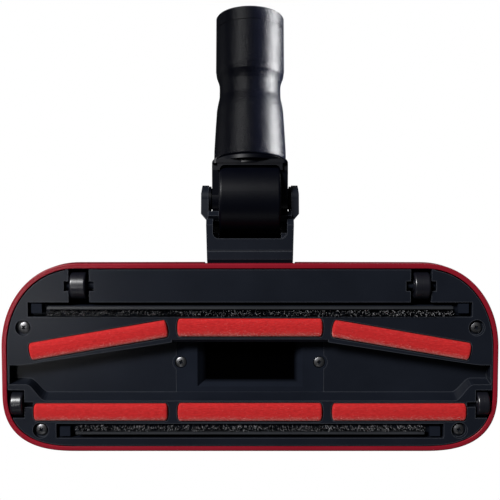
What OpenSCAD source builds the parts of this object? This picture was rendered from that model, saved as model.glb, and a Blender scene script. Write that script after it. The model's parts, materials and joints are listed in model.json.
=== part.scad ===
// Suction floor head of a vacuum cleaner: low shell, moulded sole with a suction channel,
// lint pads, retractable bristle strips, four wheels, and a twice-hinged neck whose
// connecting tube swivels on its own axis and takes the cleaner's wand.
// X runs across the head, +Y to the rear where the neck leaves, Z up from the floor.

/* [Head] */
// Width across the shell
head_w = 286; // [284:0.5:288]
// Rear edge of the shell, measured from the work line
head_rear = 54; // [53.6:0.1:54.4]
// Front edge of the shell, measured from the work line
head_front = -55; // [-56:0.1:-54.5]
// Height of the sole's running surface
sole_z = 3; // [2.6:0.1:3.2]
// Wall of the shell over its top
shell_wall = 2.3; // [2.2:0.1:2.4]
// Wall of the shell at its rim
rim_wall = 2.9; // [2.8:0.05:3]
// Height of the shell over its middle
mid_h = 41; // [41:0.5:43]
// Height of the shell over its wings
wing_h = 27; // [26.5:0.5:29]

/* [Suction channel] */
// Height of the channel's ceiling
ceiling_z = 12; // [11.8:0.1:12.2]
// Rear lip of the channel at the middle
lip_y = 8.7; // [8.5:0.1:8.9]
// Foot of the channel's sloped front wall
channel_front = -22.2; // [-22.3:0.1:-22]
// Half width of the suction mouth where it meets the ceiling
mouth_w = 30.8; // [30:0.1:31]

/* [Brush and pedal] */
// Travel of the bristle strips
brush_lift = 4; // [3:0.1:4]
// Swing of the foot pedal
pedal_swing = 14; // [14:1:14]
// Height of the bristle tips over the floor when lowered
tip_z = 0.5; // [0.3:0.1:1]

/* [Wheels] */
// Radius of the rear wheels
rear_wheel_r = 7.8; // [7.6:0.1:8]
// Width of the rear wheels
rear_wheel_w = 9.2; // [9:0.1:9.4]
// Radius of the side wheels
side_wheel_r = 7.2; // [7:0.1:7.2]

/* [Neck] */
// Distance of the elbow's pivot behind the work line
pivot_y = 90.8; // [90.6:0.1:91]
// Height of the elbow's pivot
pivot_z = 24; // [24:0.1:25]
// Radius of the elbow's drum
drum_r = 21.3; // [21:0.1:21.3]
// Resting slope of the connecting tube
tube_tilt = 12; // [10:1:14]
// Length from the pivot to the tube's open end
tube_len = 112; // [108:1:120]
// Radius of the socket that takes the wand
wand_r = 17.7; // [17.5:0.05:17.8]
// Depth of the wand socket
wand_depth = 38; // [30:1:40]

/* [Hidden] */
$fn = 64;

crimson = "#a01c2c";
pad_red = "#c82828";
ink = "#15181f";
dark = "#1d2027";
steel = "#b8babd";
rubber = "#101012";
felt = "#3a3a3c";

big = 400;
fit = 0.08;          // radial play of a shaft that turns in its hole
gap = 0.3;           // play between parts that move past each other

// Plan of the head: four corners that are quarters of a superellipse
corner_a = 43;
rear_corner_y = 5;
front_corner_y = -20;
rear_power = 2.06;
front_power = 2.6;
corner_steps = 12;
straight_steps = 15;

// Section of the shell
skirt_z = 14;
hump_w = 75;
crest_rise = 0.12;
edge_band = 26;
edge_power = 2.3;
dome_rings = 8;
rim_strip_z = 7.5;
rim_round = 0.9;
notch_y = 39.5;
notch_w = 26.6;

// Sole
sole_gap = 0.6;
sole_inset = rim_wall + sole_gap;
sole_t = 2.2;
wall_t = 1.6;
channel_bend = 45;
channel_end = 127;
channel_out = head_w / 2 - sole_inset - 1;
lip_end_y = -3.9;
lip_out_x = 132.5;
lip_out_y = -4.6;
front_slope = 3.2;
ridge_y = -15.9;         // outer ends of the front wall, on the sole's face
ridge_slope = 1.9;
bend_x = 129;
bend_len = 11;
bend_steps = 8;
insert_w = 43;
lip_bevel = 1.6;

// Bristle slots, mirrored about the middle line of the sole
slot_front = 23.3;
slot_rear = 31.8;
rear_slot_w = 127.5;
front_slot_w = 112;
mirror_y = -7.7;

// Lint pads
pad_w = 10.4;
pad_drop = 1.7;
pad_sink = 1.0;
pad_gap = 0.6;
pad_split = 47.3;
pad_end = 126.8;
pad_mid_w = 41.8;
rear_pad_y = 17.1;
rear_pad_out_y = 3.0;
front_pad_y = -32;

// Screws
corner_rear = [130.2, 17.0];
corner_front = [121, -42.6];
channel_screw = [40.5, -4.6];
cb_r = 4.6;
head_r = 3.2;
thread_r = 1.6;
boss_r = 4.6;

// Wheels
rear_wheel = [98.6, 41];
side_wheel = [134.5, -27.6];
side_wheel_w = 7.1;
side_pocket = 4.4;       // from the wheel's middle to the pocket's inner wall
rear_axle_r = 2;
side_axle_r = 1.5;

// Brush frame
holder_z = 5.5;
holder_t = 4.4;
bristle_w = 116.2;
front_bristle_w = 100.6;
bristle_rear = 27.5;
wiper_y = 27.9;
wiper_t = 1.4;
holder_step = 2.4;       // how much deeper the holder lies beyond its strip
link_x = 45.5;
link_w = 3.5;
link_z = 14.2;
link_t = 3;

// Pedal and lift shaft
shaft_y = -8;
shaft_z = 28;
shaft_r = 2.5;
crank_len = brush_lift / (2 * sin(pedal_swing / 2));
crank_x = 42;
crank_t = 3;
crank_pin_r = 1.5;
pedal_w = 46;
pedal_len = 40;
pedal_slope = 7.7;
pedal_rest = pedal_slope - pedal_swing / 2;
pedal_top = 11.8;

// Barrel of the neck's lower hinge
barrel_y = 34;
barrel_z = 26.5;
barrel_r = 10;
barrel_w = 24.6;
seat_r = barrel_r + gap;
seat_t = 1.8;
duct_w = 27.2;
duct_split = 21;
cover_foot = [-17, 19.3];    // ends of the duct's sloping top
cover_crest = [25.4, 37.6];

// Fork
fork_w = 25.4;
fork_bottom = 8.3;
fork_end = pivot_y - 11.6;
fork_bore_w = 18.2;
hood_angle = 122;
u_w = 21.5;
u_y = 68;
u_r = 3.6;
filler_r = 15.6;
ear_in = 24.3;
ear_out = 28.6;
ear_r = 8;
pin_r = 3.5;

// Knuckle, measured along the tube's axis from the pivot
arm_out = 22;
hub_r = 11;
hub_out = 24;
hub_end_r = 7.4;
arm_h = 14.8;
wall_near = 17.6;
wall_far = 20;
wall_h = 17.5;
spigot_r = 18.2;
window_r = 3;
window_y = 16.5;
lip_t = 2.8;
air_r = 15.5;
spigot_end = 46;
collar_end = 22.5;
tube_start = collar_end + gap;
drum_w = 17.8;
drum_round = 1.6;
drum_t = 2.5;
ring_at = 40;

// The origin lies under the middle of the whole object's box
tube_end_r = 20.6;
y_shift = -(head_front + pivot_y + tube_len * cos(tube_tilt) + tube_end_r * sin(tube_tilt)) / 2;

// ---------- helpers ----------

function quarter(cx, cy, a, b, power, from) = [for (i = [0 : corner_steps])
    let (t = from + 90 * i / corner_steps, c = cos(t), s = sin(t))
    [cx + a * sign(c) * pow(abs(c), 2 / power), cy + b * sign(s) * pow(abs(s), 2 / power)]];

// Points of a straight edge between two corners, its ends left out
function edge(x0, x1, y) = [for (i = [1 : straight_steps - 1])
    [x0 + (x1 - x0) * i / straight_steps, y]];

function head_outline(inset) =
    let (cx = head_w / 2 - corner_a, a = corner_a - inset,
         rb = head_rear - rear_corner_y - inset, fb = front_corner_y - head_front - inset)
    concat(quarter(cx, rear_corner_y, a, rb, rear_power, 0),
           edge(cx, -cx, head_rear - inset),
           quarter(-cx, rear_corner_y, a, rb, rear_power, 90),
           quarter(-cx, front_corner_y, a, fb, front_power, 180),
           edge(-cx, cx, head_front + inset),
           quarter(cx, front_corner_y, a, fb, front_power, 270));

function mirrored(points) = concat(points,
    [for (i = [len(points) - 1 : -1 : 0]) [-points[i].x, points[i].y]]);

// Height of a smooth double bend at t from 0 to 1
function bend(t) = t * t * (3 - 2 * t);

// Right half of the channel's edge, from the rear lip round to the front wall
function channel_edge(front, outer) = concat([[channel_bend, lip_y],
    [channel_end, lip_end_y], [lip_out_x, lip_out_y], [channel_out, lip_out_y],
    [channel_out, outer]],
    [for (i = [0 : bend_steps]) let (t = i / bend_steps)
        [bend_x - bend_len * t, outer + (front - outer) * bend(t)]]);

channel_low = mirrored(channel_edge(channel_front - front_slope, ridge_y));
channel_high = mirrored(channel_edge(channel_front + 0.3, ridge_y + ridge_slope + 0.3));

function reflect_y(y) = 2 * mirror_y - y;

module place() {
    translate([0, y_shift, 0]) children();
}

// Extrudes a (Y, Z) section from x0 to x1
module along_x(x0, x1) {
    translate([x0, 0, 0]) rotate([90, 0, 90]) linear_extrude(x1 - x0) children();
}

module box(x0, x1, y0, y1, z0, z1) {
    translate([x0, y0, z0]) cube([x1 - x0, y1 - y0, z1 - z0]);
}

module both_sides() {
    children();
    mirror([1, 0, 0]) children();
}

// Works in the elbow's own frame: Y along the tube, origin on the pivot
module at_elbow() {
    place() translate([0, pivot_y, pivot_z]) rotate([tube_tilt, 0, 0]) children();
}

// Turns a (radius, along) profile about the tube's axis
module about_tube() {
    at_elbow() rotate([-90, 0, 0]) rotate_extrude($fn = 96) children();
}

// A wedge of a circle between two angles
module sector(r, a0, a1) {
    steps = 12;
    polygon(concat([[0, 0]], [for (i = [0 : steps]) let (a = a0 + (a1 - a0) * i / steps)
        [r * cos(a), r * sin(a)]]));
}

// Pan-head screw with a cross recess, head down, its head's face at z = 0
module pan_screw(len) {
    difference() {
        union() {
            cylinder(r = head_r, h = 1.6);
            cylinder(r = thread_r, h = len);
        }
        for (a = [0, 90]) rotate([0, 0, a]) box(-1.7, 1.7, -0.35, 0.35, -1, 1);
    }
}

// ---------- shell ----------

function crest(x, y) = wing_h + (mid_h - wing_h) * exp(-pow(x / hump_w, 2)) + crest_rise * y;

// Rounds the shell's edge: 0 at the skirt, 1 from edge_band inwards
function edge_rise(d) = pow(1 - pow(1 - min(d / edge_band, 1), edge_power), 1 / edge_power);

// One ring of the dome, d in from the outside, its surface lowered by drop
function dome_ring(inset, drop, d) = let (s = edge_rise(d)) [for (o = head_outline(inset + d))
    [o.x, o.y, skirt_z + s * (crest(o.x, o.y) - drop - skirt_z)]];

// Rings from the rim's edge up to the one that edge_band draws in
function dome_points(inset, drop, in_turn) = concat(
    [for (o = head_outline(inset + in_turn)) [o.x, o.y, sole_z]],
    [for (o = head_outline(inset)) [o.x, o.y, sole_z + rim_round]],
    [for (k = [0 : dome_rings]) each dome_ring(inset, drop, edge_band * pow(k / dome_rings, 1.6))]);

// Side faces between successive rings of n points, wound outwards when flip is false
function ring_faces(first, n, rings, flip) = [for (k = [0 : rings - 2], i = [0 : n - 1])
    let (a = first + k * n + i, b = first + k * n + (i + 1) % n)
    each (flip ? [[a, b, b + n], [a, b + n, a + n]] : [[a, b + n, b], [a, a + n, b + n]])];

// Bridges the last ring's rear half to its front half, point by point
function bridge_faces(first, n, flip) = [for (i = [0 : n / 2 - 2])
    let (a = first + i, b = first + i + 1, c = first + n - 2 - i, d = first + n - 1 - i)
    each (flip ? [[a, c, b], [a, d, c]] : [[a, b, c], [a, c, d]])];

module dome() {
    n = len(head_outline(0));
    rings = dome_rings + 3;
    count = n * rings;
    top = n * (rings - 1);
    polyhedron(
        points = concat(dome_points(0, 0, rim_round),
            dome_points(rim_wall, shell_wall, -rim_round / 2)),
        faces = concat(
            ring_faces(0, n, rings, false), bridge_faces(top, n, true),
            ring_faces(count, n, rings, true), bridge_faces(count + top, n, false),
            [for (i = [0 : n - 1]) let (j = (i + 1) % n) each
                [[i, j, count + j], [i, count + j, count + i]]]),
        convexity = 6);
}

module top_shell() {
    color(crimson) place() {
        difference() {
            dome();
            // Notch for the neck, above the rim that runs on under it
            box(-notch_w, notch_w, notch_y, big, rim_strip_z, big);
            // Opening for the pedal
            box(-pedal_w / 2 - 0.8, pedal_w / 2 + 0.8, shaft_y - pedal_len / 2 - 2.9,
                shaft_y + pedal_len / 2 + 2.9, 25, big);
        }
        // Ledge behind the rim, under the neck
        box(-notch_w - 2, notch_w + 2, head_rear - rim_wall - 4, head_rear - 1,
            sole_z + sole_t + gap, rim_strip_z);
        both_sides() {
            for (p = [corner_rear, corner_front]) translate([p.x, p.y, 11]) difference() {
                cylinder(r = 3.6, h = p.y > 0 ? 14.4 : 7.2);
                translate([0, 0, -1]) cylinder(r = thread_r, h = 9);
            }
        }
    }
}

// ---------- sole ----------

// A bar with bowed ends from (x0, y0) to (x1, y1)
module bar(x0, y0, x1, y1, w, grow) {
    len = norm([x1 - x0, y1 - y0]);
    bow = 2.2;
    half = len / 2 - bow;
    steps = 8;
    end = [for (i = [0 : steps]) let (a = -90 + 180 * i / steps)
        [half + (bow + grow) * pow(abs(cos(a)), 0.6), (w / 2 + grow) * sin(a)]];
    translate([(x0 + x1) / 2, (y0 + y1) / 2]) rotate(atan2(y1 - y0, x1 - x0))
        polygon(concat(end, [for (p = end) -p]));
}

module pad_plan(row, side, grow) {
    out_y = row == "rear" ? rear_pad_out_y : front_pad_y;
    mid_y = row == "rear" ? rear_pad_y : front_pad_y;
    in_y = row == "rear" ? rear_pad_y - 0.4 : front_pad_y;
    end_x = row == "rear" ? pad_end : pad_end - 1.9;
    if (side == 0) bar(-pad_mid_w, mid_y, pad_mid_w, mid_y, pad_w, grow);
    else mirror([side < 0 ? 1 : 0, 0]) bar(pad_split, in_y, end_x, out_y, pad_w - 0.4, grow);
}

module sole_outline() {
    polygon(head_outline(sole_inset));
}

module bristle_slot(w, grow) {
    box(-w - grow, w + grow, slot_front - grow, slot_rear + grow, 0, big);
}

// Mirrors a rear feature to the front of the sole
module to_front() {
    translate([0, 2 * mirror_y, 0]) mirror([0, 1, 0]) children();
}

module sole_body() {
    translate([0, 0, sole_z]) linear_extrude(sole_t) sole_outline();
    intersection() {
        translate([0, 0, sole_z]) linear_extrude(ceiling_z + wall_t - sole_z) sole_outline();
        linear_extrude(big) offset(delta = wall_t) polygon(channel_low);
    }
    // Low walls round the bristle slots
    intersection() {
        translate([0, 0, sole_z]) linear_extrude(6) sole_outline();
        union() {
            bristle_slot(rear_slot_w, wall_t);
            to_front() bristle_slot(front_slot_w, wall_t);
        }
    }
    both_sides() {
        box(rear_wheel.x - 6.6 - wall_t, rear_wheel.x + 5.4 + wall_t, slot_rear + wall_t,
            head_rear - sole_inset, sole_z, 18.4);
        box(rear_wheel.x - 9.2 - 1.2, rear_wheel.x + 8.1 + 1.2, 36.5, 45.5, sole_z, 11.4);
        box(side_wheel.x - side_pocket - 2.2, side_wheel.x - side_pocket, -36.6, -17.6, sole_z, 12);
        box(side_wheel.x - 11, side_wheel.x - side_pocket, -30.6, -24.6, sole_z, 10.2);
        for (p = [corner_rear, corner_front]) translate([p.x, p.y, sole_z])
            cylinder(r = cb_r + 1.1, h = 7.8);
    }
}

module sole_cuts() {
    // Channel, and the slope of its front wall
    translate([0, 0, -1]) linear_extrude(ceiling_z + 1) polygon(channel_high);
    front_slope_void();
    // Bevel under the rear lip
    along_x(-channel_bend, channel_bend) polygon([[lip_y - 0.1, 0], [lip_y + lip_bevel, 0],
        [lip_y + lip_bevel, sole_z], [lip_y, sole_z + lip_bevel], [lip_y - 0.1, sole_z + lip_bevel]]);
    // The mouth insert fills the middle of the ceiling
    box(-insert_w - 0.1, insert_w + 0.1, channel_front + 0.05, lip_y + 0.01, 0, big);
    both_sides() translate([channel_screw.x, channel_screw.y, 0]) cylinder(r = boss_r + 0.1, h = 20);
    box(-duct_w - 0.2, duct_w + 0.2, 0, 17.2, ceiling_z, big);
    box(-duct_w - 0.2, duct_w + 0.2, 0, 15.4, sole_z + sole_t, big);
    bristle_slot(rear_slot_w, 0);
    to_front() bristle_slot(front_slot_w, 0);
    for (row = ["rear", "front"], side = [-1, 0, 1])
        translate([0, 0, sole_z - 1]) linear_extrude(1 + pad_sink) pad_plan(row, side, pad_gap);
    both_sides() {
        box(rear_wheel.x - 6.6, rear_wheel.x + 5.4, slot_front + 1, big, 0, 16.8);
        box(rear_wheel.x - 9.2, rear_wheel.x + 8.1, 38.1, 43.9, 0, rear_wheel_r + rear_axle_r);
        box(side_wheel.x - side_pocket, big, -35.6, -19.1, 0, big);
        box(side_wheel.x - 9.4, side_wheel.x, side_wheel.y - side_axle_r,
            side_wheel.y + side_axle_r, 0, side_wheel_r + side_axle_r);
        for (p = [corner_rear, corner_front]) translate([p.x, p.y, 0]) {
            cylinder(r = cb_r, h = sole_z + 3);
            cylinder(r = thread_r + 0.25, h = 20);
        }
    }
}

// Section of the front wall's slope at x, t of the way along the bend, run on below the sole
function slope_section(x, t) =
    let (low = ridge_y + (channel_front - front_slope - ridge_y) * bend(t),
         high = ridge_y + ridge_slope + (channel_front - ridge_y - ridge_slope) * bend(t),
         foot = low - (high - low) * (sole_z - 1) / (ceiling_z - sole_z))
    [[x, foot, -1], [x, foot, 1], [x, high, ceiling_z], [x, high + 1.2, ceiling_z],
     [x, high + 1.2, -1]];

// The room that the sloping front wall gives the channel, from one end to the other
module front_slope_void() {
    half = concat([slope_section(channel_out + 0.2, 0)],
        [for (i = [0 : bend_steps]) let (t = i / bend_steps)
            slope_section(bend_x - bend_len * t, t)]);
    rings = concat(half, [for (i = [len(half) - 1 : -1 : 0])
        [for (p = half[i]) [-p.x, p.y, p.z]]]);
    n = len(rings[0]);
    last = n * (len(rings) - 1);
    polyhedron(
        points = [for (ring = rings) each ring],
        faces = concat(ring_faces(0, n, len(rings), false), [[for (i = [n - 1 : -1 : 0]) last + i]],
            [[for (i = [0 : n - 1]) i]]),
        convexity = 4);
}

module sole_plate() {
    color(ink) place() difference() {
        sole_body();
        sole_cuts();
    }
}

module pad(row, side) {
    color(pad_red) place() translate([0, 0, sole_z - pad_drop])
        linear_extrude(pad_drop + pad_sink) pad_plan(row, side, 0);
}

module rear_pad_left() { pad("rear", -1); }
module rear_pad_centre() { pad("rear", 0); }
module rear_pad_right() { pad("rear", 1); }
module front_pad_left() { pad("front", -1); }
module front_pad_centre() { pad("front", 0); }
module front_pad_right() { pad("front", 1); }

module corner_screws() {
    color(steel) place() both_sides() for (p = [corner_rear, corner_front])
        translate([p.x, p.y, sole_z + 1.4]) pan_screw(14);
}

module channel_screws() {
    color(steel) place() both_sides()
        translate([channel_screw.x, channel_screw.y, ceiling_z + 0.2]) pan_screw(8);
}

// ---------- duct inside the head ----------

module at_barrel() {
    translate([barrel_y, barrel_z]) children();
}

module duct_outer() {
    polygon([[channel_front + 0.2, ceiling_z], cover_foot, cover_crest, [barrel_y, 38.6],
        [barrel_y, 14.4], [26.5, 15.2], [17, ceiling_z + 1.4], [17, ceiling_z]]);
    at_barrel() circle(seat_r + seat_t);
}

module duct_cavity() {
    polygon([[-14.6, 18], [-14.6, ceiling_z - 1], [15, ceiling_z - 1], [15, 14.6], [27, 18],
        [barrel_y, barrel_z], [28, 35.2]]);
    at_barrel() circle(seat_r);
}

// Rear of the seat, left open so that the neck can rock
module seat_opening() {
    at_barrel() sector(60, -60, 60);
}

module duct_shape() {
    difference() {
        along_x(-duct_w, duct_w) duct_outer();
        along_x(-barrel_w - gap, barrel_w + gap) duct_cavity();
        along_x(-duct_w - 1, duct_w + 1) seat_opening();
        felt_rings();
    }
}

module inner_duct() {
    color(dark) place() difference() {
        union() {
            intersection() {
                duct_shape();
                box(-big, big, -big, big, ceiling_z, duct_split);
            }
            // Flange that fills the ceiling, with the funnel's sides
            box(-insert_w, insert_w, channel_front + 0.1, lip_y, ceiling_z, ceiling_z + wall_t);
            intersection() {
                along_x(-mouth_w - wall_t, mouth_w + wall_t) polygon([[channel_front + 0.2, ceiling_z],
                    [-17, 19.3], [lip_y, 19.3], [lip_y, ceiling_z]]);
                rotate([90, 0, 0]) translate([0, 0, -big / 2]) linear_extrude(big) polygon(mirrored([
                    [mouth_w + wall_t, ceiling_z], [mouth_w + wall_t, ceiling_z + wall_t],
                    [duct_w - 0.4, 19.3], [duct_w - 0.4, 19.3]]));
            }
            both_sides() translate([channel_screw.x, channel_screw.y, ceiling_z])
                cylinder(r = boss_r, h = 8);
        }
        // Funnel: bevelled mouth in the ceiling
        hull() {
            box(-mouth_w, mouth_w, -19, lip_y + 1, ceiling_z - 1, ceiling_z);
            box(-barrel_w, barrel_w, -14.5, lip_y + 1, 18, 18.2);
        }
        both_sides() translate([channel_screw.x, channel_screw.y, 0]) {
            cylinder(r = head_r + 0.3, h = ceiling_z + 1.8);
            cylinder(r = thread_r, h = ceiling_z + 8.4);
        }
    }
}

module duct_cover() {
    lug_x = 14;
    color(dark) place() {
        intersection() {
            duct_shape();
            box(-big, big, -big, big, duct_split, big);
        }
        both_sides() {
            difference() {
                along_x(lug_x, lug_x + 3) {
                    translate([shaft_y, shaft_z]) circle(4.8);
                    polygon([[shaft_y - 4.8, shaft_z], [shaft_y + 4.8, shaft_z],
                        [shaft_y + 4.8, 27.6], [shaft_y - 4.8, 23.6]]);
                }
                along_x(lug_x - 1, lug_x + 4) translate([shaft_y, shaft_z]) circle(shaft_r + fit);
            }
            // Ears for the two cover screws
            translate([duct_w + 2.6, 27, duct_split]) difference() {
                union() {
                    cylinder(r = 2.9, h = 3);
                    box(-3, 0, -2.9, 2.9, 0, 3);
                }
                translate([0, 0, -1]) cylinder(r = 1.3, h = 5);
            }
        }
    }
}

module duct_screws() {
    color(steel) place() both_sides() translate([duct_w + 2.6, 27, duct_split + 3]) {
        cylinder(r = 2.2, h = 1.4);
        translate([0, 0, -7]) cylinder(r = 1.25, h = 7.5);
    }
}

// Felt rings that seal the barrel at its sides, let into the duct's walls
module felt_rings() {
    both_sides() along_x(barrel_w + 0.12, barrel_w + 1.1) at_barrel() difference() {
        circle(barrel_r - 0.6);
        circle(barrel_r - 3);
    }
}

module neck_seals() {
    color(felt) place() felt_rings();
}

// Leaf spring that holds the shaft at either end of its swing; u runs up the duct's sloping top
module detent_spring() {
    slope = cover_crest - cover_foot;
    color(steel) place() along_x(-5, 5) translate(cover_foot) rotate(atan2(slope.y, slope.x))
        polygon([[16, 0.03], [28, 0.03], [28, 0.53], [16.4, 0.53], [15.9, 3.4], [15.4, 3.4]]);
}

// ---------- wheels ----------

// Half section of a wheel: rounded tread with a mould line round its middle
module wheel(r, w, bore) {
    round_r = 1.2;
    line = 0.25;
    rotate([0, 90, 0]) rotate_extrude($fn = 72) difference() {
        translate([bore, -w / 2]) square([r - bore, w]);
        for (s = [-1, 1]) {
            difference() {
                translate([r - round_r, s * (w / 2 - round_r / 2) - round_r / 2])
                    square([round_r + 1, round_r]);
                translate([r - round_r, s * (w / 2 - round_r)]) circle(round_r, $fn = 32);
            }
            translate([(r + bore) / 2, s * w / 2]) square([r - bore - 2.8, 1.2], center = true);
        }
        translate([r - line / 2, -line / 2]) square([line, line]);
    }
}

module rear_wheel_at(side) {
    color(rubber) place() translate([side * rear_wheel.x, rear_wheel.y, rear_wheel_r])
        wheel(rear_wheel_r, rear_wheel_w, rear_axle_r + fit);
}

module side_wheel_at(side) {
    color(rubber) place() translate([side * side_wheel.x, side_wheel.y, side_wheel_r])
        wheel(side_wheel_r, side_wheel_w, side_axle_r + fit);
}

module rear_wheel_left() { rear_wheel_at(-1); }
module rear_wheel_right() { rear_wheel_at(1); }
module side_wheel_left() { side_wheel_at(-1); }
module side_wheel_right() { side_wheel_at(1); }

module rear_axles() {
    color(steel) place() both_sides() translate([rear_wheel.x - 9, rear_wheel.y, rear_wheel_r])
        rotate([0, 90, 0]) cylinder(r = rear_axle_r, h = 16.9);
}

module side_axles() {
    color(steel) place() both_sides() translate([side_wheel.x - 9.2, side_wheel.y, side_wheel_r])
        rotate([0, 90, 0]) cylinder(r = side_axle_r, h = 13);
}

// ---------- brush and pedal ----------

module holder(w, strip_w) {
    front = slot_front + 0.5;
    top = holder_z + holder_t;
    box(-w, w, front, slot_rear - 2.2, holder_z + holder_step, top);
    box(-strip_w, strip_w, front, slot_rear - 2.2, holder_z, top);
    both_sides() box(w - 6, w, front + 1.6, slot_rear - 1, sole_z + 0.6, top);
}

module brush_frame() {
    pin_y = shaft_y + crank_len * cos(pedal_swing / 2);
    pin_z = shaft_z - crank_len * sin(pedal_swing / 2);
    front_y = reflect_y(slot_rear - 2.2);
    color(dark) place() {
        holder(rear_slot_w - 2, bristle_w);
        to_front() holder(front_slot_w - 2, front_bristle_w);
        both_sides() {
            box(link_x, link_x + link_w, front_y, slot_rear - 2.2, link_z, link_z + link_t);
            box(link_x, link_x + link_w, slot_front + 0.5, slot_rear - 2.2, holder_z, link_z + link_t);
            box(link_x, link_x + link_w, front_y, reflect_y(slot_front + 0.5), holder_z,
                link_z + link_t);
            // Post whose slot the crank's pin lifts
            difference() {
                along_x(link_x, link_x + link_w) polygon([[pin_y - 8, link_z], [pin_y + 8, link_z],
                    [pin_y + 5.2, pin_z + 3.8], [pin_y - 5.2, pin_z + 3.8]]);
                along_x(link_x - 1, link_x + link_w + 1) {
                    translate([pin_y - 1, pin_z]) circle(crank_pin_r + 0.15);
                    translate([pin_y + 1, pin_z]) circle(crank_pin_r + 0.15);
                    translate([pin_y - 1, pin_z - crank_pin_r - 0.15])
                        square([2, 2 * crank_pin_r + 0.3]);
                }
            }
        }
    }
}

module strip(w, y0, y1, z0, z1) {
    box(-w, w, y0, y1, z0, z1);
}

module rear_bristles() {
    color(rubber) place() strip(bristle_w, slot_front + 0.5, bristle_rear, tip_z, holder_z);
}

module front_bristles() {
    color(rubber) place() to_front() strip(front_bristle_w, slot_front + 0.5, bristle_rear, tip_z,
        holder_z);
}

module rear_wiper() {
    color(dark) place() strip(bristle_w, wiper_y, wiper_y + wiper_t, tip_z + 1.6, holder_z);
}

module front_wiper() {
    color(dark) place() to_front() strip(front_bristle_w, wiper_y, wiper_y + wiper_t, tip_z + 1.6,
        holder_z);
}

module at_shaft() {
    place() translate([0, shaft_y, shaft_z]) children();
}

// Transverse shaft with a crank and a pin at each end
module lift_shaft() {
    color(steel) at_shaft() rotate([-pedal_swing / 2, 0, 0]) {
        rotate([0, 90, 0]) cylinder(r = shaft_r, h = 2 * (crank_x + crank_t), center = true);
        both_sides() {
            along_x(crank_x, crank_x + crank_t) {
                circle(4);
                polygon([[0, -4], [crank_len, -2.6], [crank_len, 2.6], [0, 4]]);
                translate([crank_len, 0]) circle(2.6);
            }
            translate([crank_x, crank_len, 0]) rotate([0, 90, 0])
                cylinder(r = crank_pin_r, h = link_x - crank_x + link_w + 0.6);
        }
    }
}

// Works in the pedal's own frame, on the shaft's axis
module at_pedal() {
    at_shaft() rotate([pedal_rest, 0, 0]) children();
}

module foot_pedal() {
    rib_x = 8;
    color(ink) at_pedal() difference() {
        union() {
            translate([0, 0, pedal_top - 3]) linear_extrude(3) pedal_plan(0);
            both_sides() {
                along_x(rib_x, rib_x + 3) polygon([[-4, 0], [4, 0], [9, pedal_top - 3],
                    [-9, pedal_top - 3]]);
                along_x(rib_x, rib_x + 3) circle(4);
            }
        }
        along_x(-big / 2, big / 2) circle(shaft_r);
        translate([0, 0, pedal_top - 0.8]) linear_extrude(1) pedal_plan(4.5);
    }
}

// Rounded rectangle of the pedal, drawn in by inset
module pedal_plan(inset) {
    r = 6 - inset / 2;
    w = pedal_w / 2 - inset;
    l = pedal_len / 2 - inset;
    square([2 * w - 2 * r, 2 * l], center = true);
    square([2 * w, 2 * l - 2 * r], center = true);
    for (x = [-1, 1], y = [-1, 1]) translate([x * (w - r), y * (l - r)]) circle(r);
}

// Grip inlay with raised ribs
module pedal_grip() {
    color(rubber) at_pedal() translate([0, 0, pedal_top - 0.8]) {
        linear_extrude(0.8) pedal_plan(4.5);
        for (i = [-3 : 3]) box(-13, 13, i * 4 - 0.6, i * 4 + 0.6, 0.5, 1.3);
    }
}

// ---------- neck ----------

module at_pivot() {
    translate([pivot_y, pivot_z]) children();
}

// Side view of the fork without its ears
module fork_side() {
    hood = [pivot_y + 24 * cos(hood_angle), pivot_z + 24 * sin(hood_angle)];
    polygon([[41.6, 32.9], hood, [fork_end, 41], [fork_end, 12], [76, fork_bottom],
        [56, fork_bottom], [40.5, 18.9], [barrel_y, barrel_z]]);
    at_barrel() circle(barrel_r);
}

module fork_air() {
    polygon([[41.5, 30.2], [74, 40.6], [80, 40.6], [80, 17], [70, 14.2], [60, 12], [56.5, 12],
        [42, 21], [barrel_y, barrel_z]]);
    at_barrel() {
        circle(barrel_r - 2);
        sector(barrel_r + 2, 128, 252);
    }
}

module fork_plan() {
    polygon(mirrored([[barrel_w, 0], [barrel_w, 45], [fork_w, fork_end], [fork_w, 200]]));
}

module ears() {
    both_sides() intersection() {
        along_x(ear_in, ear_out) {
            at_pivot() circle(ear_r);
            polygon([[64, 11], [64, 36], [pivot_y, pivot_z + ear_r], [pivot_y, pivot_z - ear_r]]);
        }
        linear_extrude(big) polygon([[ear_in, 64], [25, 64], [25.2, 78.2], [ear_out, 82.2],
            [ear_out, 94], [ear_out - 0.6, 99], [ear_in, 99]]);
    }
}

module fork_shape() {
    difference() {
        union() {
            intersection() {
                along_x(-fork_w, fork_w) fork_side();
                linear_extrude(big) fork_plan();
            }
            ears();
            // Fillers that close the sides below the hubs
            both_sides() along_x(drum_w + 0.4, ear_in + 0.1) at_pivot() difference() {
                sector(filler_r, 182, 232);
                circle(hub_r + 0.35);
            }
        }
        // Seat of the drum, then the rounded U in the underside
        along_x(-drum_w - gap, drum_w + gap) at_pivot() circle(filler_r + 1);
        along_x(-u_w, u_w) at_pivot() difference() {
            circle(drum_r + 0.4);
            circle(filler_r);
        }
        linear_extrude(15) {
            translate([-u_w + u_r, u_y]) square([2 * (u_w - u_r), 2 * u_r]);
            translate([-u_w, u_y + u_r]) square([2 * u_w, 2 * u_r]);
            for (s = [-1, 1]) translate([s * (u_w - u_r), u_y + u_r]) circle(u_r);
        }
        along_x(-fork_bore_w, fork_bore_w) fork_air();
        along_x(-ear_out - 1, ear_out + 1) at_pivot() circle(pin_r);
        // Parting groove across the underside
        box(-big, big, 60.6, 61.2, 0, fork_bottom + 0.5);
    }
}

module fork_lower() {
    color(ink) place() difference() {
        intersection() {
            fork_shape();
            box(-big, big, 0, big, 0, pivot_z);
        }
        both_sides() translate([22, 63, 11]) cylinder(r = 1.3, h = big);
    }
}

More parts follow.
